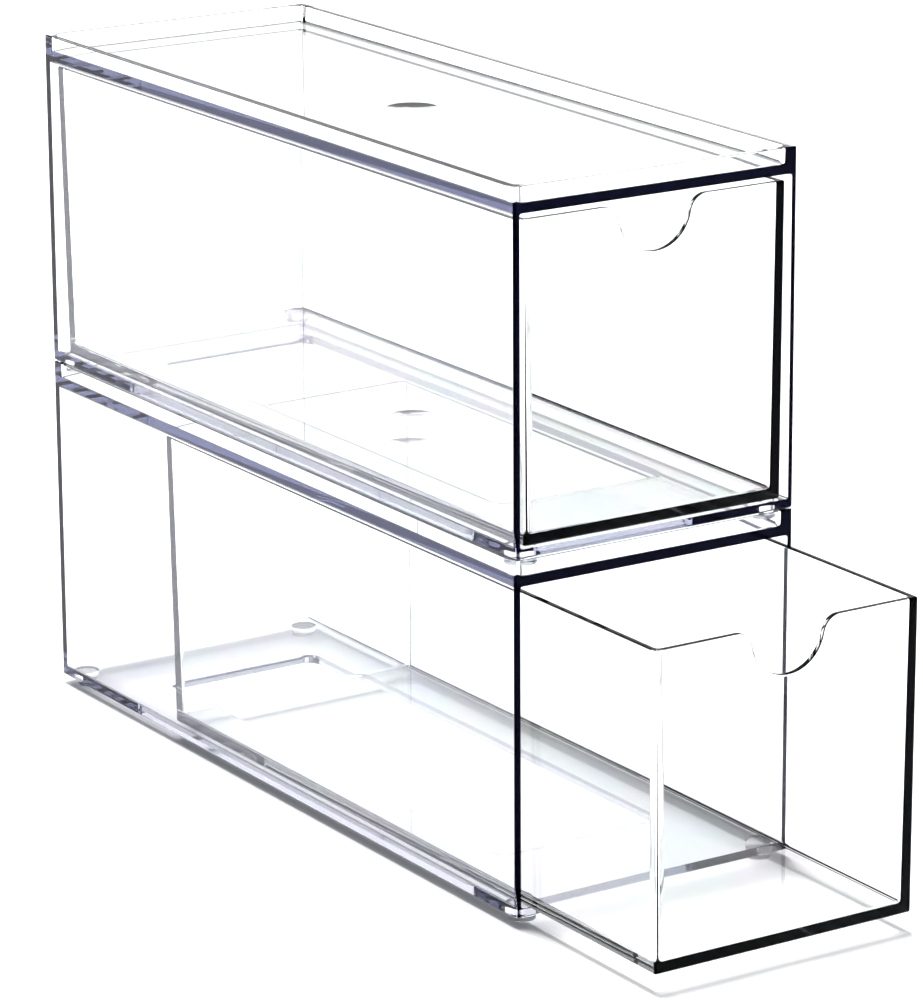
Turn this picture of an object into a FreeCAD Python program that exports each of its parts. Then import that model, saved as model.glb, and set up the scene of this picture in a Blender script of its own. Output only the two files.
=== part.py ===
import FreeCAD, Part
import math
import os

import Sketcher
from FreeCAD import Vector

# Two clear drawer boxes, one stacked on the other.  Each box is two injection mouldings:
#   casing: a sleeve open at the front, with a raised rim round its top, a window in its
#           floor and four round feet below;
#   drawer: an open-topped tray with a finger scoop in its front wall.
# Millimetres, +Z up, drawers open towards -Y.  Each piece is modelled in its own frame:
# x = 0 at mid width, y = 0 at its front face, z = 0 at its lowest face, depth towards +Y.

SIZES = [
    ("casing_width", 95.0, "outside width"),
    ("casing_depth", 268.0, "outside depth"),
    ("casing_height", 105.2, "underside of the floor to the top of the rim"),
    ("casing_corner", 0.8, "radius of the upright outside corners"),
    ("rim_edge", 0.35, "radius of the rim's top edges"),
    ("floor_edge", 0.7, "radius of the floor's outer lower edges"),
    ("side_wall", 1.8, "side wall at the mouth, where it is thinnest"),
    ("back_wall", 2.0, "back wall"),
    ("floor_wall", 2.8, "floor"),
    ("panel_wall", 2.5, "top panel, inside the rim"),
    ("core_draft", 0.1, "degrees the mouth narrows towards the back, so the core draws out"),
    ("mouth_corner", 0.8, "inside corner radius of the mouth"),
    ("rim_depth", 5.1, "rim above the top panel"),
    ("rim_wall", 2.2, "rim at its top"),
    ("rim_corner", 3.0, "inside corner radius of the rim"),
    ("rim_draft", 2.0, "degrees the rim thickens downwards"),
    ("rim_root", 0.5, "radius where the rim meets the panel"),
    ("foot_height", 2.9, "feet below the floor"),
    ("foot_diameter", 7.6, "diameter of a foot at its sole"),
    ("foot_play", 0.6, "inside of a rim at its top to the sole of a foot that stands in it"),
    ("foot_draft", 5.0, "degrees a foot widens upwards"),
    ("foot_edge", 0.4, "radius round the sole of a foot"),
    ("window_side", 20.0, "sides of the casing to the window cut out of its floor"),
    ("window_end", 35.0, "front and back of the casing to that window"),
    ("window_corner", 5.0, "corner radius of that window"),
    ("stack_gap", 0.3, "rim of one casing to the underside of the next"),
    ("gate_radius", 8.0, "shallow dish round the gate in the top panel and the drawer floor"),
    ("gate_depth", 0.25, "depth of that dish"),
    ("gate_forward", 7.0, "middle of a piece's depth to its gate, towards the front"),
    ("side_clearance", 1.5, "drawer to the casing's side wall, each side, at the mouth"),
    ("top_clearance", 2.0, "drawer lip to the top panel"),
    ("glide_gap", 0.3, "drawer to the casing floor it runs over"),
    ("rear_clearance", 2.5, "closed drawer to the back wall"),
    ("drawer_recess", 1.0, "closed drawer front behind the casing's front edge"),
    ("drawer_wall", 1.9, "drawer walls at the lip"),
    ("drawer_floor", 2.7, "drawer floor"),
    ("drawer_corner", 0.8, "radius of the drawer's upright outside corners"),
    ("tray_corner", 1.5, "radius of the drawer's upright inside corners"),
    ("drawer_hem", 0.6, "radius round the underside of the drawer"),
    ("drawer_root", 1.0, "radius where the walls meet the floor, inside"),
    ("lip_edge", 0.5, "radius of the drawer's lip and scoop edges"),
    ("side_draft", 0.3, "degrees the drawer's sides lean in towards the floor, outside"),
    ("back_draft", 1.2, "degrees the drawer's back leans in towards the floor, outside"),
    ("wall_draft", 0.3, "degrees the walls thicken towards the floor"),
    ("scoop_depth", 14.4, "finger scoop below the lip"),
    ("scoop_radius", 12.0, "round bottom of the scoop"),
    ("scoop_shoulder", 5.5, "radius where the scoop turns into the lip"),
    ("drawer_pull", 64.0, "how far the lower drawer stands open"),
]

# Sizes worked out from the ones above.  Each is a formula in the sheet.
DERIVED = [
    ("floor_top", "foot_height + floor_wall"),
    ("recess_floor", "foot_height + casing_height - rim_depth"),
    ("foot_inset", "rim_wall + foot_play"),
    ("mouth_width", "casing_width - 2 * side_wall"),
    ("mouth_height", "casing_height - rim_depth - panel_wall - floor_wall"),
    ("mouth_depth", "casing_depth - back_wall"),
    ("core_slope", "tan(core_draft * 1deg) * mouth_depth"),
    ("drawer_width", "mouth_width - 2 * side_clearance"),
    ("drawer_height", "mouth_height - glide_gap - top_clearance"),
    ("drawer_length", "mouth_depth - rear_clearance - drawer_recess"),
    ("side_slope", "tan(side_draft * 1deg) * drawer_height"),
    ("back_slope", "tan(back_draft * 1deg) * drawer_height"),
    ("wall_slope", "tan(wall_draft * 1deg) * (drawer_height - drawer_floor)"),
    ("floor_share", "drawer_floor / drawer_height"),
    ("root_radius", "min(drawer_root; tray_corner / 1.1)"),
    ("stack_step", "casing_height + stack_gap"),
    ("front_plane", "-(casing_depth + drawer_recess - drawer_pull) / 2"),
]


def make_sheet(doc):
    """Spreadsheet with one named cell for each size and each derived size."""
    sheet = doc.addObject("Spreadsheet::Sheet", "sizes")
    rows = [(name, str(value), note) for name, value, note in SIZES]
    rows += [(name, "=" + formula, "derived") for name, formula in DERIVED]
    for row, (name, content, note) in enumerate(rows, start=1):
        sheet.set("A%d" % row, name)
        sheet.set("B%d" % row, content)
        sheet.set("C%d" % row, note)
        sheet.setAlias("B%d" % row, name)
    doc.recompute()
    return sheet


def size(name):
    """The cell's name as other objects' expressions know it."""
    return "<<sizes>>." + name


def value(owner, expression):
    """Present value of an expression, used to draw a sketch near its solution."""
    return float(owner.evalExpression(expression))


def bind(owner, **expressions):
    """Tie properties of an object to expressions."""
    for name, expression in expressions.items():
        owner.setExpression(name, expression)


def add_sketch(body, name, plane, offset=None):
    """Sketch on one of the body's own origin planes, moved along its normal."""
    sketch = body.newObject("Sketcher::SketchObject", name)
    support = next(f for f in body.Origin.OriginFeatures if f.Role == plane)
    sketch.AttachmentSupport = (support, [""])
    sketch.MapMode = "FlatFace"
    if offset:
        sketch.setExpression("AttachmentOffset.Base.z", offset)
    return sketch


def add_size(sketch, label, expression, kind, *points):
    """Dimension of a sketch, tied to an expression."""
    index = sketch.addConstraint(Sketcher.Constraint(kind, *points, value(sketch, expression)))
    sketch.renameConstraint(index, label)
    sketch.setExpression("Constraints." + label, expression)


def rounded_rectangle(sketch, width, height, radius, left=None, bottom=None):
    """Rectangle with round corners, on the vertical axis unless left is given."""
    w, h, r = (value(sketch, e) for e in (width, height, radius))
    x0 = value(sketch, left) if left else -w / 2
    y0 = value(sketch, bottom) if bottom else 0.0
    x1, y1 = x0 + w, y0 + h
    sides = [
        (Vector(x0 + r, y0), Vector(x1 - r, y0)),
        (Vector(x1, y0 + r), Vector(x1, y1 - r)),
        (Vector(x1 - r, y1), Vector(x0 + r, y1)),
        (Vector(x0, y1 - r), Vector(x0, y0 + r)),
    ]
    centres = [
        Vector(x1 - r, y0 + r), Vector(x1 - r, y1 - r),
        Vector(x0 + r, y1 - r), Vector(x0 + r, y0 + r),
    ]
    for start, end in sides:
        sketch.addGeometry(Part.LineSegment(start, end))
    for turn, centre in enumerate(centres):
        circle = Part.Circle(centre, Vector(0, 0, 1), r)
        start = (turn - 1) * math.pi / 2
        sketch.addGeometry(Part.ArcOfCircle(circle, start, start + math.pi / 2))
    for side in range(4):
        corner = 4 + side
        sketch.addConstraint(Sketcher.Constraint("Tangent", side, 2, corner, 1))
        sketch.addConstraint(Sketcher.Constraint("Tangent", corner, 2, (side + 1) % 4, 1))
        if side:
            sketch.addConstraint(Sketcher.Constraint("Equal", 4, corner))
    sketch.addConstraint(Sketcher.Constraint("Vertical", 1))
    sketch.addConstraint(Sketcher.Constraint("Horizontal", 2))
    sketch.addConstraint(Sketcher.Constraint("Vertical", 3))
    add_size(sketch, "radius", radius, "Radius", 4)
    add_size(sketch, "width", width, "DistanceX", 3, 1, 1, 1)
    add_size(sketch, "height", height, "DistanceY", 0, 1, 2, 1)
    if left:
        sketch.addConstraint(Sketcher.Constraint("Horizontal", 0))
        add_size(sketch, "left", left, "DistanceX", -1, 1, 3, 1)
    else:
        sketch.addConstraint(Sketcher.Constraint("Symmetric", 0, 1, 0, 2, -2))
    if bottom:
        add_size(sketch, "bottom", bottom, "DistanceY", -1, 1, 0, 1)
    else:
        sketch.addConstraint(Sketcher.Constraint("PointOnObject", 0, 1, -1))


def add_loft(body, kind, name, first, second):
    """Loft between two sketches, added to or cut from the body."""
    loft = body.newObject("PartDesign::" + kind, name)
    loft.Profile = first
    loft.Sections = [second]
    loft.Ruled = True
    return loft


def add_fillet(body, name, chosen, radius):
    """Fillet on the edges of the body's present shape that pass a test."""
    body.Document.recompute()
    base = body.Tip
    edges = ["Edge%d" % n for n, edge in enumerate(base.Shape.Edges, start=1) if chosen(edge)]
    fillet = body.newObject("PartDesign::Fillet", name)
    fillet.Base = (base, edges)
    bind(fillet, Radius=radius)
    return fillet


def at_height(z, inside=None):
    """Test for edges that lie in a level plane, and whose middle passes inside."""
    def test(edge):
        box = edge.BoundBox
        level = abs(box.ZMin - z) < 0.01 and abs(box.ZMax - z) < 0.01
        return level and (inside is None or inside(edge.CenterOfMass))
    return test


def add_gate_dish(body, name, height, middle):
    """Shallow dish that the moulding gate leaves, a spherical cap turned about an upright axis."""
    sketch = add_sketch(body, name + "Profile", "YZ_Plane")
    radius, depth = size("gate_radius"), size("gate_depth")
    y0, z0 = value(sketch, middle), value(sketch, height)
    a, d = value(sketch, radius), value(sketch, depth)
    ball = (a * a + d * d) / (2 * d)
    centre = Vector(y0, z0 - d + ball)
    half = math.asin(a / ball)
    circle = Part.Circle(centre, Vector(0, 0, 1), ball)
    sketch.addGeometry(Part.ArcOfCircle(circle, -math.pi / 2, -math.pi / 2 + half))
    sketch.addGeometry(Part.LineSegment(Vector(y0 + a, z0), Vector(y0, z0)))
    sketch.addGeometry(Part.LineSegment(Vector(y0, z0), Vector(y0, z0 - d)))
    sketch.addConstraint(Sketcher.Constraint("Coincident", 0, 2, 1, 1))
    sketch.addConstraint(Sketcher.Constraint("Coincident", 1, 2, 2, 1))
    sketch.addConstraint(Sketcher.Constraint("Coincident", 2, 2, 0, 1))
    sketch.addConstraint(Sketcher.Constraint("Horizontal", 1))
    sketch.addConstraint(Sketcher.Constraint("Vertical", 2))
    sketch.addConstraint(Sketcher.Constraint("Vertical", 0, 3, 0, 1))
    add_size(sketch, "reach", radius, "DistanceX", 1, 2, 1, 1)
    add_size(sketch, "depth", depth, "DistanceY", 2, 2, 2, 1)
    add_size(sketch, "middle", middle, "DistanceX", -1, 1, 1, 2)
    add_size(sketch, "level", height, "DistanceY", -1, 1, 1, 2)
    groove = body.newObject("PartDesign::Groove", name)
    groove.Profile = sketch
    groove.ReferenceAxis = (sketch, ["Edge3"])
    groove.Angle = 360
    return groove


def add_feet(body):
    """Round front and rear foot on one side, mirrored to the other."""
    inset = "(<<sizes>>.foot_inset + <<sizes>>.foot_diameter / 2)"
    across = "<<sizes>>.casing_width / 2 - " + inset
    feet = []
    for name, depth in (("FrontFoot", inset), ("RearFoot", "<<sizes>>.casing_depth - " + inset)):
        sketch = add_sketch(body, name + "Outline", "XY_Plane")
        middle = Vector(value(sketch, across), value(sketch, depth))
        radius = value(sketch, size("foot_diameter")) / 2
        sketch.addGeometry(Part.Circle(middle, Vector(0, 0, 1), radius))
        add_size(sketch, "diameter", size("foot_diameter"), "Diameter", 0)
        add_size(sketch, "across", across, "DistanceX", -1, 1, 0, 3)
        add_size(sketch, "depth", depth, "DistanceY", -1, 1, 0, 3)
        foot = body.newObject("PartDesign::Pad", name)
        foot.Profile = sketch
        bind(foot, Length=size("foot_height"), TaperAngle=size("foot_draft"))
        feet.append(foot)
    mirror = body.newObject("PartDesign::Mirrored", "OtherSide")
    mirror.Originals = feet
    plane = next(f for f in body.Origin.OriginFeatures if f.Role == "YZ_Plane")
    mirror.MirrorPlane = (plane, [""])
    body.Tip = mirror


def add_floor_window(body):
    """Window cut out of the casing's floor, which leaves a border for the drawer to run on."""
    sketch = add_sketch(body, "WindowOutline", "XY_Plane", size("floor_top"))
    rounded_rectangle(sketch, "<<sizes>>.casing_width - 2 * <<sizes>>.window_side",
                      "<<sizes>>.casing_depth - 2 * <<sizes>>.window_end",
                      size("window_corner"), bottom=size("window_end"))
    window = body.newObject("PartDesign::Pocket", "FloorWindow")
    window.Profile = sketch
    bind(window, Length=size("floor_wall"))


def make_casing(doc, label):
    """Sleeve open at the front: stacking rim on top, window in the floor and feet below."""
    body = doc.addObject("PartDesign::Body", label)
    body.Label = label

    outline = add_sketch(body, "Outline", "XY_Plane", size("foot_height"))
    rounded_rectangle(outline, size("casing_width"), size("casing_depth"), size("casing_corner"))
    block = body.newObject("PartDesign::Pad", "Block")
    block.Profile = outline
    bind(block, Length=size("casing_height"))

    rim = add_sketch(body, "RimInside", "XY_Plane",
                     "<<sizes>>.foot_height + <<sizes>>.casing_height")
    rounded_rectangle(rim, "<<sizes>>.casing_width - 2 * <<sizes>>.rim_wall",
                      "<<sizes>>.casing_depth - 2 * <<sizes>>.rim_wall",
                      size("rim_corner"), bottom=size("rim_wall"))
    recess = body.newObject("PartDesign::Pocket", "StackingRecess")
    recess.Profile = rim
    bind(recess, Length=size("rim_depth"), TaperAngle="-<<sizes>>.rim_draft")

    mouth = add_sketch(body, "Mouth", "XZ_Plane")
    rounded_rectangle(mouth, size("mouth_width"), size("mouth_height"),
                      size("mouth_corner"), bottom=size("floor_top"))
    end = add_sketch(body, "CavityEnd", "XZ_Plane", "-<<sizes>>.mouth_depth")
    rounded_rectangle(end, "<<sizes>>.mouth_width - 2 * <<sizes>>.core_slope",
                      "<<sizes>>.mouth_height - <<sizes>>.core_slope",
                      size("mouth_corner"), bottom=size("floor_top"))
    add_loft(body, "SubtractiveLoft", "Cavity", mouth, end)

    add_floor_window(body)
    add_gate_dish(body, "PanelGate", size("recess_floor"),
                  "<<sizes>>.casing_depth / 2 - <<sizes>>.gate_forward")
    add_feet(body)

    sizes = doc.getObject("sizes")
    top = sizes.foot_height + sizes.casing_height
    add_fillet(body, "RimEdges", at_height(top), size("rim_edge"))
    add_fillet(body, "FloorEdges",
               at_height(sizes.foot_height, lambda p: near_outline(sizes, p, sizes.casing_corner)),
               size("floor_edge"))
    add_fillet(body, "FootSoles", at_height(0.0), size("foot_edge"))
    add_fillet(body, "RimRoot",
               at_height(sizes.recess_floor, lambda p: near_outline(sizes, p, 2 * sizes.rim_wall)),
               size("rim_root"))
    return body


def near_outline(sizes, point, reach):
    """Whether a point lies within reach of the casing's outside faces."""
    side = sizes.casing_width / 2 - abs(point.x)
    end = min(point.y, sizes.casing_depth - point.y)
    return min(side, end) < reach


def add_scoop(body):
    """Finger scoop: round bottom, and shoulders that turn out into the lip."""
    sketch = add_sketch(body, "ScoopOutline", "XZ_Plane")
    radius, shoulder = size("scoop_radius"), size("scoop_shoulder")
    low = "<<sizes>>.drawer_height - <<sizes>>.scoop_depth + <<sizes>>.scoop_radius"
    high = "<<sizes>>.drawer_height - <<sizes>>.scoop_shoulder"
    r, s = value(sketch, radius), value(sketch, shoulder)
    z0, z1 = value(sketch, low), value(sketch, high)
    lip = z1 + s
    above = lip + s
    reach = math.sqrt((r + s) ** 2 - (z0 - z1) ** 2)
    lean = math.atan2(z1 - z0, reach)
    up = Vector(0, 0, 1)
    middle = Part.Circle(Vector(0, z0), up, r)
    right = Part.Circle(Vector(reach, z1), up, s)
    left = Part.Circle(Vector(-reach, z1), up, s)
    sketch.addGeometry(Part.ArcOfCircle(middle, math.pi - lean, 2 * math.pi + lean))
    sketch.addGeometry(Part.ArcOfCircle(right, math.pi / 2, math.pi + lean))
    sketch.addGeometry(Part.ArcOfCircle(left, -lean, math.pi / 2))
    sketch.addGeometry(Part.LineSegment(Vector(reach, lip), Vector(reach, above)))
    sketch.addGeometry(Part.LineSegment(Vector(reach, above), Vector(-reach, above)))
    sketch.addGeometry(Part.LineSegment(Vector(-reach, above), Vector(-reach, lip)))
    for kind, points in (
        ("Tangent", (0, 2, 1, 2)),
        ("Tangent", (2, 1, 0, 1)),
        ("Coincident", (1, 1, 3, 1)),
        ("Coincident", (3, 2, 4, 1)),
        ("Coincident", (4, 2, 5, 1)),
        ("Coincident", (5, 2, 2, 2)),
        ("Vertical", (3,)),
        ("Vertical", (5,)),
        ("Horizontal", (4,)),
        ("Vertical", (1, 3, 1, 1)),
        ("Vertical", (2, 3, 2, 2)),
        ("PointOnObject", (0, 3, -2)),
        ("Equal", (1, 2)),
        ("Horizontal", (1, 3, 2, 3)),
    ):
        sketch.addConstraint(Sketcher.Constraint(kind, *points))
    add_size(sketch, "bottom", radius, "Radius", 0)
    add_size(sketch, "shoulder", shoulder, "Radius", 1)
    add_size(sketch, "low", low, "DistanceY", -1, 1, 0, 3)
    add_size(sketch, "high", high, "DistanceY", -1, 1, 1, 3)
    add_size(sketch, "clear", shoulder, "DistanceY", 3, 1, 3, 2)
    scoop = body.newObject("PartDesign::Pocket", "Scoop")
    scoop.Profile = sketch
    bind(scoop, Length="2 * <<sizes>>.drawer_wall")
    return scoop


def make_drawer(doc, label):
    """Open-topped tray with drafted walls and a finger scoop in the front one."""
    body = doc.addObject("PartDesign::Body", label)
    body.Label = label

    hem = add_sketch(body, "Underside", "XY_Plane")
    rounded_rectangle(hem, "<<sizes>>.drawer_width - 2 * <<sizes>>.side_slope",
                      "<<sizes>>.drawer_length - <<sizes>>.back_slope", size("drawer_corner"))
    lip = add_sketch(body, "Lip", "XY_Plane", size("drawer_height"))
    rounded_rectangle(lip, size("drawer_width"), size("drawer_length"), size("drawer_corner"))
    add_loft(body, "AdditiveLoft", "Tray", hem, lip)

    inner = size("tray_corner")
    root = add_sketch(body, "InsideFloor", "XY_Plane", size("drawer_floor"))
    thick = "(<<sizes>>.drawer_wall + <<sizes>>.wall_slope)"
    rounded_rectangle(
        root,
        "<<sizes>>.drawer_width - 2 * (1 - <<sizes>>.floor_share) * <<sizes>>.side_slope - 2 * " + thick,
        "<<sizes>>.drawer_length - (1 - <<sizes>>.floor_share) * <<sizes>>.back_slope - 2 * " + thick,
        inner, bottom=thick)
    opening = add_sketch(body, "InsideLip", "XY_Plane", size("drawer_height"))
    rounded_rectangle(opening, "<<sizes>>.drawer_width - 2 * <<sizes>>.drawer_wall",
                      "<<sizes>>.drawer_length - 2 * <<sizes>>.drawer_wall",
                      inner, bottom=size("drawer_wall"))
    add_loft(body, "SubtractiveLoft", "Inside", root, opening)

    add_scoop(body)
    add_gate_dish(body, "FloorGate", size("drawer_floor"),
                  "<<sizes>>.drawer_length / 2 - <<sizes>>.gate_forward")

    sizes = doc.getObject("sizes")
    add_fillet(body, "Hem", at_height(0.0), size("drawer_hem"))
    add_fillet(body, "Root",
               at_height(sizes.drawer_floor, lambda p: near_walls(sizes, p)), size("root_radius"))
    add_fillet(body, "LipEdges", lip_edges(sizes), size("lip_edge"))
    return body


def near_walls(sizes, point):
    """Whether a point on the drawer's floor lies outside the gate's dish."""
    gate = sizes.drawer_length / 2 - sizes.gate_forward
    return abs(point.x) > 2 * sizes.gate_radius or abs(point.y - gate) > 2 * sizes.gate_radius


def lip_edges(sizes):
    """Test for the edges of the lip, the scoop's included, that aren't across the wall."""
    low = sizes.drawer_height - sizes.scoop_depth - 0.01

    def test(edge):
        box = edge.BoundBox
        across = box.YLength > 0.5 * sizes.drawer_wall and box.XLength < 0.01 \
            and box.YMax < 2 * sizes.drawer_wall
        return box.ZMin > low and not across
    return test


def place(body, y, z):
    """Put a piece at its place in the stack."""
    bind(body, **{"Placement.Base.y": y, "Placement.Base.z": z})


def check(doc, bodies):
    """Stop if anything in the document failed or a piece isn't one sound solid."""
    for thing in doc.Objects:
        if "Invalid" in thing.State or "Error" in thing.State:
            raise RuntimeError("%s failed: %s" % (thing.Label, thing.State))
    for body in bodies:
        shape = body.Shape
        if shape.isNull() or not shape.isValid() or len(shape.Solids) != 1:
            raise RuntimeError("%s is not one sound solid" % body.Label)


def main():
    doc = FreeCAD.newDocument("DrawerStack")
    make_sheet(doc)
    front = size("front_plane")
    closed = "<<sizes>>.front_plane + <<sizes>>.drawer_recess"
    step = size("stack_step")
    glide = size("floor_top") + " + " + size("glide_gap")

    lower_casing = make_casing(doc, "lower_casing")
    upper_casing = make_casing(doc, "upper_casing")
    lower_drawer = make_drawer(doc, "lower_drawer")
    upper_drawer = make_drawer(doc, "upper_drawer")
    place(lower_casing, front, "0")
    place(upper_casing, front, step)
    place(lower_drawer, closed + " - <<sizes>>.drawer_pull", glide)
    place(upper_drawer, closed, step + " + " + glide)
    doc.recompute()

    bodies = [lower_casing, lower_drawer, upper_casing, upper_drawer]
    check(doc, bodies)
    os.makedirs("parts", exist_ok=True)
    for body in bodies:
        body.Shape.exportStep("parts/%s.step" % body.Label)
        print("%s %.0f mm3" % (body.Label, body.Shape.Volume), body.Shape.BoundBox)


main()
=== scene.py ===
from math import radians

import bpy
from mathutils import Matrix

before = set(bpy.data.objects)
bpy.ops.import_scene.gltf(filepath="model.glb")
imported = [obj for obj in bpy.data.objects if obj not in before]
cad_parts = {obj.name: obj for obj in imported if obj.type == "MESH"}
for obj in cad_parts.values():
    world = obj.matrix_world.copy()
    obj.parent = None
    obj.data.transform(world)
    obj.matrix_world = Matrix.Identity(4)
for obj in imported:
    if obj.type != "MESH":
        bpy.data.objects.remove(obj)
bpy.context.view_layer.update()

MM = 0.001

# The studio, in metres, watts and degrees.
PAPER_SIZE, PAPER_CELLS = 16, 4
PAPER_COLOUR, PAPER_ROUGHNESS, PAPER_SHEEN = "#F4F4F4", 0.9, 0.1
SOFTBOX_PLACE, SOFTBOX_WIDTH, SOFTBOX_POWER = (0, 1.0, 3.0), 4.0, 40
LAMP_PLACE, LAMP_WIDTH, LAMP_POWER = (0, 0.3, 6.0), 0.7, 620
ROOM_BRIGHTNESS = 0.9
DIM_COLOUR, DIM_UP_TO = "#3A3C48", 0.1
WALL_COLOUR, WALL_FROM = "#FFFFFF", 0.6
CAMERA_PLACE = (-0.76304, -1.19209, 0.50215)
CAMERA_TURN = (73.9002, 0.325, -32.7461)
LENS_MM, SENSOR_MM = 177.892, 36
CAMERA_NEAR, CAMERA_FAR = 0.05, 60
PRINT_GAMMA = 0.85

# How often light is followed on through the walls. Past the last of the inner reflections it is
# taken as lost, which helps to leave the walls' ends black.
ALL_BOUNCES, WALLS_CROSSED, INNER_REFLECTIONS, SHADOW_WALLS = 40, 30, 14, 24

# Clear polystyrene, and the marks that moulding and use leave in it. Real hairlines are too fine
# to show, so these are drawn wider. The depth of the waves was chosen. FROM and FULL say
# how strong the noise is where hairlines start, and where they are at their roughest.
STYRENE_IOR = 1.58
WAVE_WIDTH, WAVE_DEPTH, WAVE_OCTAVES = 25 * MM, 0.012 * MM, 1.0
HAIRLINE_WIDTH, HAIRLINE_STRETCH, HAIRLINE_OCTAVES = 0.4 * MM, 0.02, 2.0
HAIRLINE_FROM, HAIRLINE_FULL, HAIRLINE_ROUGHNESS = 0.62, 0.8, 0.05
PATCH_WIDTH, PATCH_OCTAVES = 30 * MM, 1.0
PINK, GREEN, BLUE = (0.35, "#FFFDFE"), (0.5, "#FDFFFD"), (0.65, "#FDFEFF")

# What a lamp's light keeps as it goes through a wall: all of it, but for walls that it grazes,
# by the slant at which the shade starts and at which it is full.
SLANT_CURVE = 0.5
SHADED_FROM, SHADED_FULL = 0.88, 1.0
UNSHADED_COLOUR, SHADED_COLOUR = "#FFFFFF", "#1C2024"

# Dye, its density per metre, and the tint of what the surface mirrors.
CASING_PLASTIC = ("#002D8C", 18.5, "#181878")
DRAWER_PLASTIC = ("#00303C", 9.5, "#0C1434")


def linear(code):
    """Linear colour of an sRGB hex code such as #E8ECF4."""
    parts = [int(code[i:i + 2], 16) / 255 for i in (1, 3, 5)]
    parts = [c / 12.92 if c <= 0.04045 else ((c + 0.055) / 1.055) ** 2.4 for c in parts]
    return (*parts, 1.0)


def add_node(tree, kind, settings=None, **links):
    """Add a node: settings fill its properties and sockets, links feed its inputs.

    A link's name is the input's name with _ for each space, or n and the input's number."""
    node = tree.nodes.new(kind)
    for name, value in (settings or {}).items():
        if hasattr(node, name):
            setattr(node, name, value)
        else:
            node.inputs[name].default_value = value
    for name, source in links.items():
        key = int(name[1:]) if name[1:].isdigit() else name.replace("_", " ")
        tree.links.new(source, node.inputs[key])
    return node


# Stage: a pale floor, soft studio light and the camera.

def make_floor():
    """Sheet of matt white paper, lit until it is as bright as the wall behind it."""
    bpy.ops.mesh.primitive_grid_add(x_subdivisions=PAPER_CELLS, y_subdivisions=PAPER_CELLS,
                                    size=PAPER_SIZE)
    floor = bpy.context.object
    floor.name = "studio_floor"
    paper = bpy.data.materials.new("white studio paper")
    paper.use_nodes = True
    tree = paper.node_tree
    shader = tree.nodes["Principled BSDF"]
    shader.inputs["Roughness"].default_value = PAPER_ROUGHNESS
    shader.inputs["Specular IOR Level"].default_value = PAPER_SHEEN
    shader.inputs["Base Color"].default_value = linear(PAPER_COLOUR)
    floor.data.materials.append(paper)


def make_light(name, place, width, power):
    """Square lamp that faces straight down."""
    data = bpy.data.lights.new(name, "AREA")
    data.shape, data.size, data.energy = "SQUARE", width, power
    lamp = bpy.data.objects.new(name, data)
    bpy.context.scene.collection.objects.link(lamp)
    lamp.location = place


def make_world():
    """Room with a white wall behind the boxes and dim everywhere else.

    The dim part is what the walls' ends mirror, so they come out dark. UP_TO and FROM are how
    far a direction has to point along Y to meet the last of the dim part and the wall."""
    world = bpy.data.worlds.new("studio room")
    world.use_nodes = True
    tree = world.node_tree
    back = tree.nodes["Background"]
    place = add_node(tree, "ShaderNodeTexCoord")
    axes = add_node(tree, "ShaderNodeSeparateXYZ", Vector=place.outputs["Generated"])
    side = add_node(tree, "ShaderNodeMapRange", {"From Min": DIM_UP_TO, "From Max": WALL_FROM},
                    Value=axes.outputs["Y"])
    ramp = add_node(tree, "ShaderNodeValToRGB", Fac=side.outputs["Result"])
    ramp.color_ramp.elements[0].color = linear(DIM_COLOUR)
    ramp.color_ramp.elements[1].color = linear(WALL_COLOUR)
    tree.links.new(ramp.outputs["Color"], back.inputs["Color"])
    back.inputs["Strength"].default_value = ROOM_BRIGHTNESS
    bpy.context.scene.world = world


def make_camera():
    """Long lens that looks down a little on the boxes' front and left side."""
    data = bpy.data.cameras.new("camera")
    camera = bpy.data.objects.new("camera", data)
    bpy.context.scene.collection.objects.link(camera)
    data.lens, data.sensor_width = LENS_MM, SENSOR_MM
    data.clip_start, data.clip_end = CAMERA_NEAR, CAMERA_FAR
    camera.location = CAMERA_PLACE
    camera.rotation_euler = [radians(turn) for turn in CAMERA_TURN]
    bpy.context.scene.camera = camera


make_floor()
make_world()
make_light("overhead_softbox", SOFTBOX_PLACE, SOFTBOX_WIDTH, SOFTBOX_POWER)
make_light("overhead_lamp", LAMP_PLACE, LAMP_WIDTH, LAMP_POWER)
make_camera()

scene = bpy.context.scene
scene.view_settings.view_transform = "Standard"
scene.view_settings.gamma = PRINT_GAMMA
scene.cycles.max_bounces = ALL_BOUNCES
scene.cycles.transmission_bounces = WALLS_CROSSED
scene.cycles.glossy_bounces = INNER_REFLECTIONS
scene.cycles.transparent_max_bounces = SHADOW_WALLS
scene.cycles.caustics_reflective = False
scene.cycles.caustics_refractive = False


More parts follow.
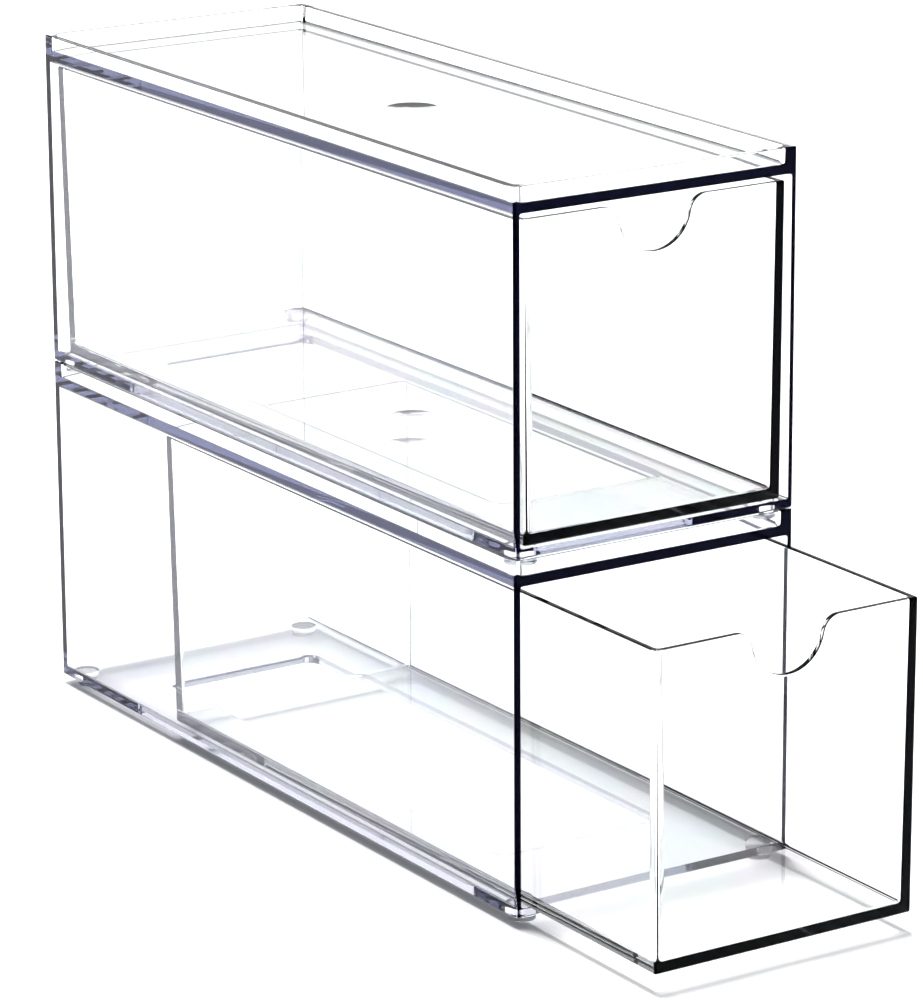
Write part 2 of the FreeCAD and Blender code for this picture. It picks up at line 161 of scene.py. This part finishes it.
def make_clear_styrene(name, dye, density, glint):
    """Clear injection-moulded polystyrene.

    The eye reads it by its edges: faces are almost invisible, and the walls' ends, where the
    light comes a long way through the dyed plastic, are nearly black. Dye and density tint what
    shines through a wall, and glint tints what its surface mirrors. All three were set, and may
    be stronger than in real styrene."""
    plastic = bpy.data.materials.new(name)
    plastic.use_nodes = True
    tree = plastic.node_tree
    shader = tree.nodes["Principled BSDF"]
    out = tree.nodes["Material Output"]
    shader.inputs["Transmission Weight"].default_value = 1.0
    shader.inputs["IOR"].default_value = STYRENE_IOR
    shader.inputs["Specular Tint"].default_value = linear(glint)

    # Moulded faces are as smooth as the polished mould, but for slow waves where they shrank.
    place = add_node(tree, "ShaderNodeTexCoord").outputs["Object"]
    waves = add_node(tree, "ShaderNodeTexNoise",
                     {"Scale": 1 / WAVE_WIDTH, "Detail": WAVE_OCTAVES}, Vector=place)
    bump = add_node(tree, "ShaderNodeBump", {"Strength": 1.0, "Distance": WAVE_DEPTH},
                    Height=waves.outputs["Fac"])
    tree.links.new(bump.outputs["Normal"], shader.inputs["Normal"])

    # Fine hairlines that run front to back, left by the drawers sliding.
    long_place = add_node(tree, "ShaderNodeMapping", {"Scale": (1, HAIRLINE_STRETCH, 1)},
                          Vector=place)
    hairs = add_node(tree, "ShaderNodeTexNoise",
                     {"Scale": 1 / HAIRLINE_WIDTH, "Detail": HAIRLINE_OCTAVES},
                     Vector=long_place.outputs["Vector"])
    rough = add_node(tree, "ShaderNodeMapRange",
                     {"From Min": HAIRLINE_FROM, "From Max": HAIRLINE_FULL,
                      "To Max": HAIRLINE_ROUGHNESS}, Value=hairs.outputs["Fac"])
    tree.links.new(rough.outputs["Result"], shader.inputs["Roughness"])

    # Cooling leaves stress in the walls, which shows as very faint pastel patches.
    patches = add_node(tree, "ShaderNodeTexNoise",
                       {"Scale": 1 / PATCH_WIDTH, "Detail": PATCH_OCTAVES}, Vector=place)
    pastel = add_node(tree, "ShaderNodeValToRGB", Fac=patches.outputs["Fac"])
    ramp = pastel.color_ramp
    ramp.elements.new(GREEN[0])
    for stop, (position, code) in zip(ramp.elements, (PINK, GREEN, BLUE)):
        stop.position, stop.color = position, linear(code)
    tree.links.new(pastel.outputs["Color"], shader.inputs["Base Color"])

    # The lamps shine straight through the faces, and walls that they graze cast a grey line.
    rays = add_node(tree, "ShaderNodeLightPath")
    slant = add_node(tree, "ShaderNodeLayerWeight", {"Blend": SLANT_CURVE})
    along = add_node(tree, "ShaderNodeMapRange",
                     {"From Min": SHADED_FROM, "From Max": SHADED_FULL},
                     Value=slant.outputs["Facing"])
    shade = add_node(tree, "ShaderNodeValToRGB", Fac=along.outputs["Result"])
    shade.color_ramp.elements[0].color = linear(UNSHADED_COLOUR)
    shade.color_ramp.elements[1].color = linear(SHADED_COLOUR)
    clear = add_node(tree, "ShaderNodeBsdfTransparent", Color=shade.outputs["Color"])
    mix = add_node(tree, "ShaderNodeMixShader", Fac=rays.outputs["Is Shadow Ray"],
                   n1=shader.outputs["BSDF"], n2=clear.outputs["BSDF"])
    tree.links.new(mix.outputs["Shader"], out.inputs["Surface"])
    inside = add_node(tree, "ShaderNodeVolumeAbsorption",
                      {"Color": linear(dye), "Density": density})
    tree.links.new(inside.outputs["Volume"], out.inputs["Volume"])
    return plastic


casing = make_clear_styrene("clear styrene, moulded casing", *CASING_PLASTIC)
drawer = make_clear_styrene("clear styrene, moulded drawer", *DRAWER_PLASTIC)
for node, material in (("lower_casing", casing), ("upper_casing", casing),
                       ("lower_drawer", drawer), ("upper_drawer", drawer)):
    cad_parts[node].material_slots[0].material = material
